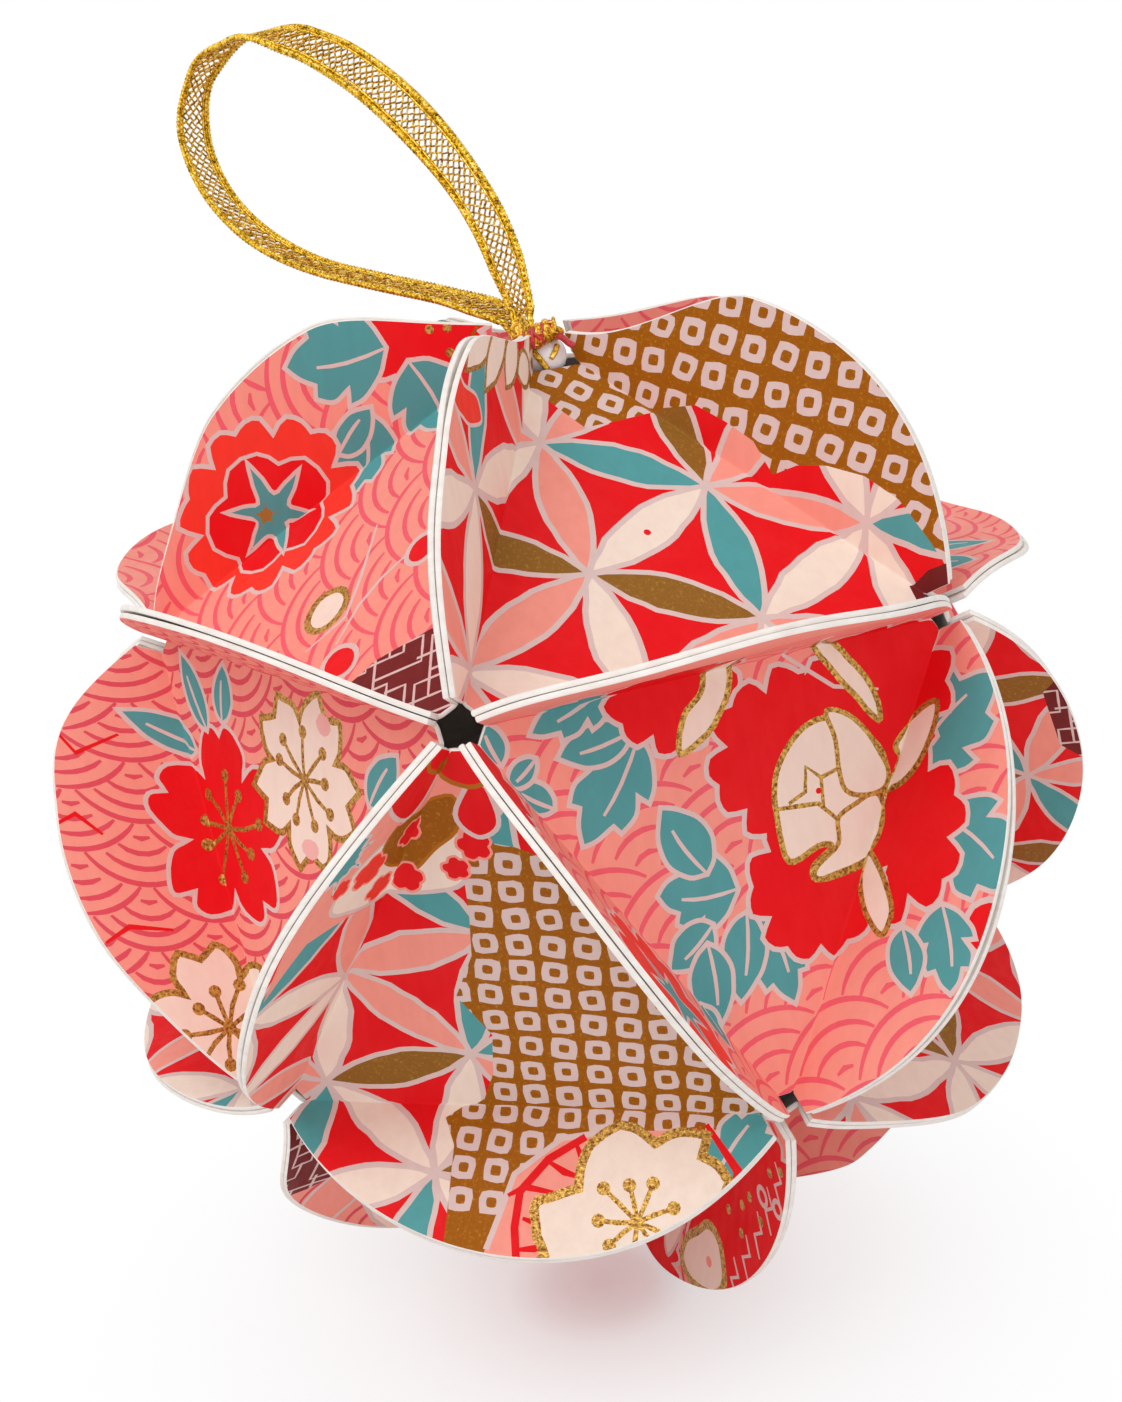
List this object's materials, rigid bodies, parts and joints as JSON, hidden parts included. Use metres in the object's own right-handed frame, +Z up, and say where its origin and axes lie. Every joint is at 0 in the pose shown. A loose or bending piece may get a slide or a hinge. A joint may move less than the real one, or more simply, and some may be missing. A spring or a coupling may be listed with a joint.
{
  "type": "kusudama paper ball",
  "caption": "Folded paper ball of round printed cards, each scored into a triangle with three flaps glued back to back, with a flat gold ribbon loop bound at the top.",
  "frame": {"origin": "under the ball's centre, on the surface that its five lowest flap pairs stand on", "axes": "+Z up through the point that carries the ribbon loop; one of the five upper points of the ball faces -Y; +X to the right seen from -Y"},
  "size_m": [0.096, 0.0922, 0.1152],
  "materials": {
    "printed_card": "printed decorative paper on white card, matte with a faint grain, white cut edges and back",
    "gold_ribbon": "woven metallic gold mesh ribbon with corded edges",
    "brocade_thread": "red thread wound with metallic gold thread",
    "white_bead": "glossy pearl white bead"
  },
  "bodies": {
    "root": {"crown_disc_1": "printed_card", "crown_disc_2": "printed_card", "crown_disc_3": "printed_card", "crown_disc_4": "printed_card", "crown_disc_5": "printed_card", "upper_disc_1": "printed_card", "upper_disc_2": "printed_card", "upper_disc_3": "printed_card", "upper_disc_4": "printed_card", "upper_disc_5": "printed_card", "lower_disc_1": "printed_card", "lower_disc_2": "printed_card", "lower_disc_3": "printed_card", "lower_disc_4": "printed_card", "lower_disc_5": "printed_card", "foot_disc_1": "printed_card", "foot_disc_2": "printed_card", "foot_disc_3": "printed_card", "foot_disc_4": "printed_card", "foot_disc_5": "printed_card", "ribbon_loop": "gold_ribbon", "thread_knot": "brocade_thread", "bead": "white_bead"}
  },
  "joints": []
}
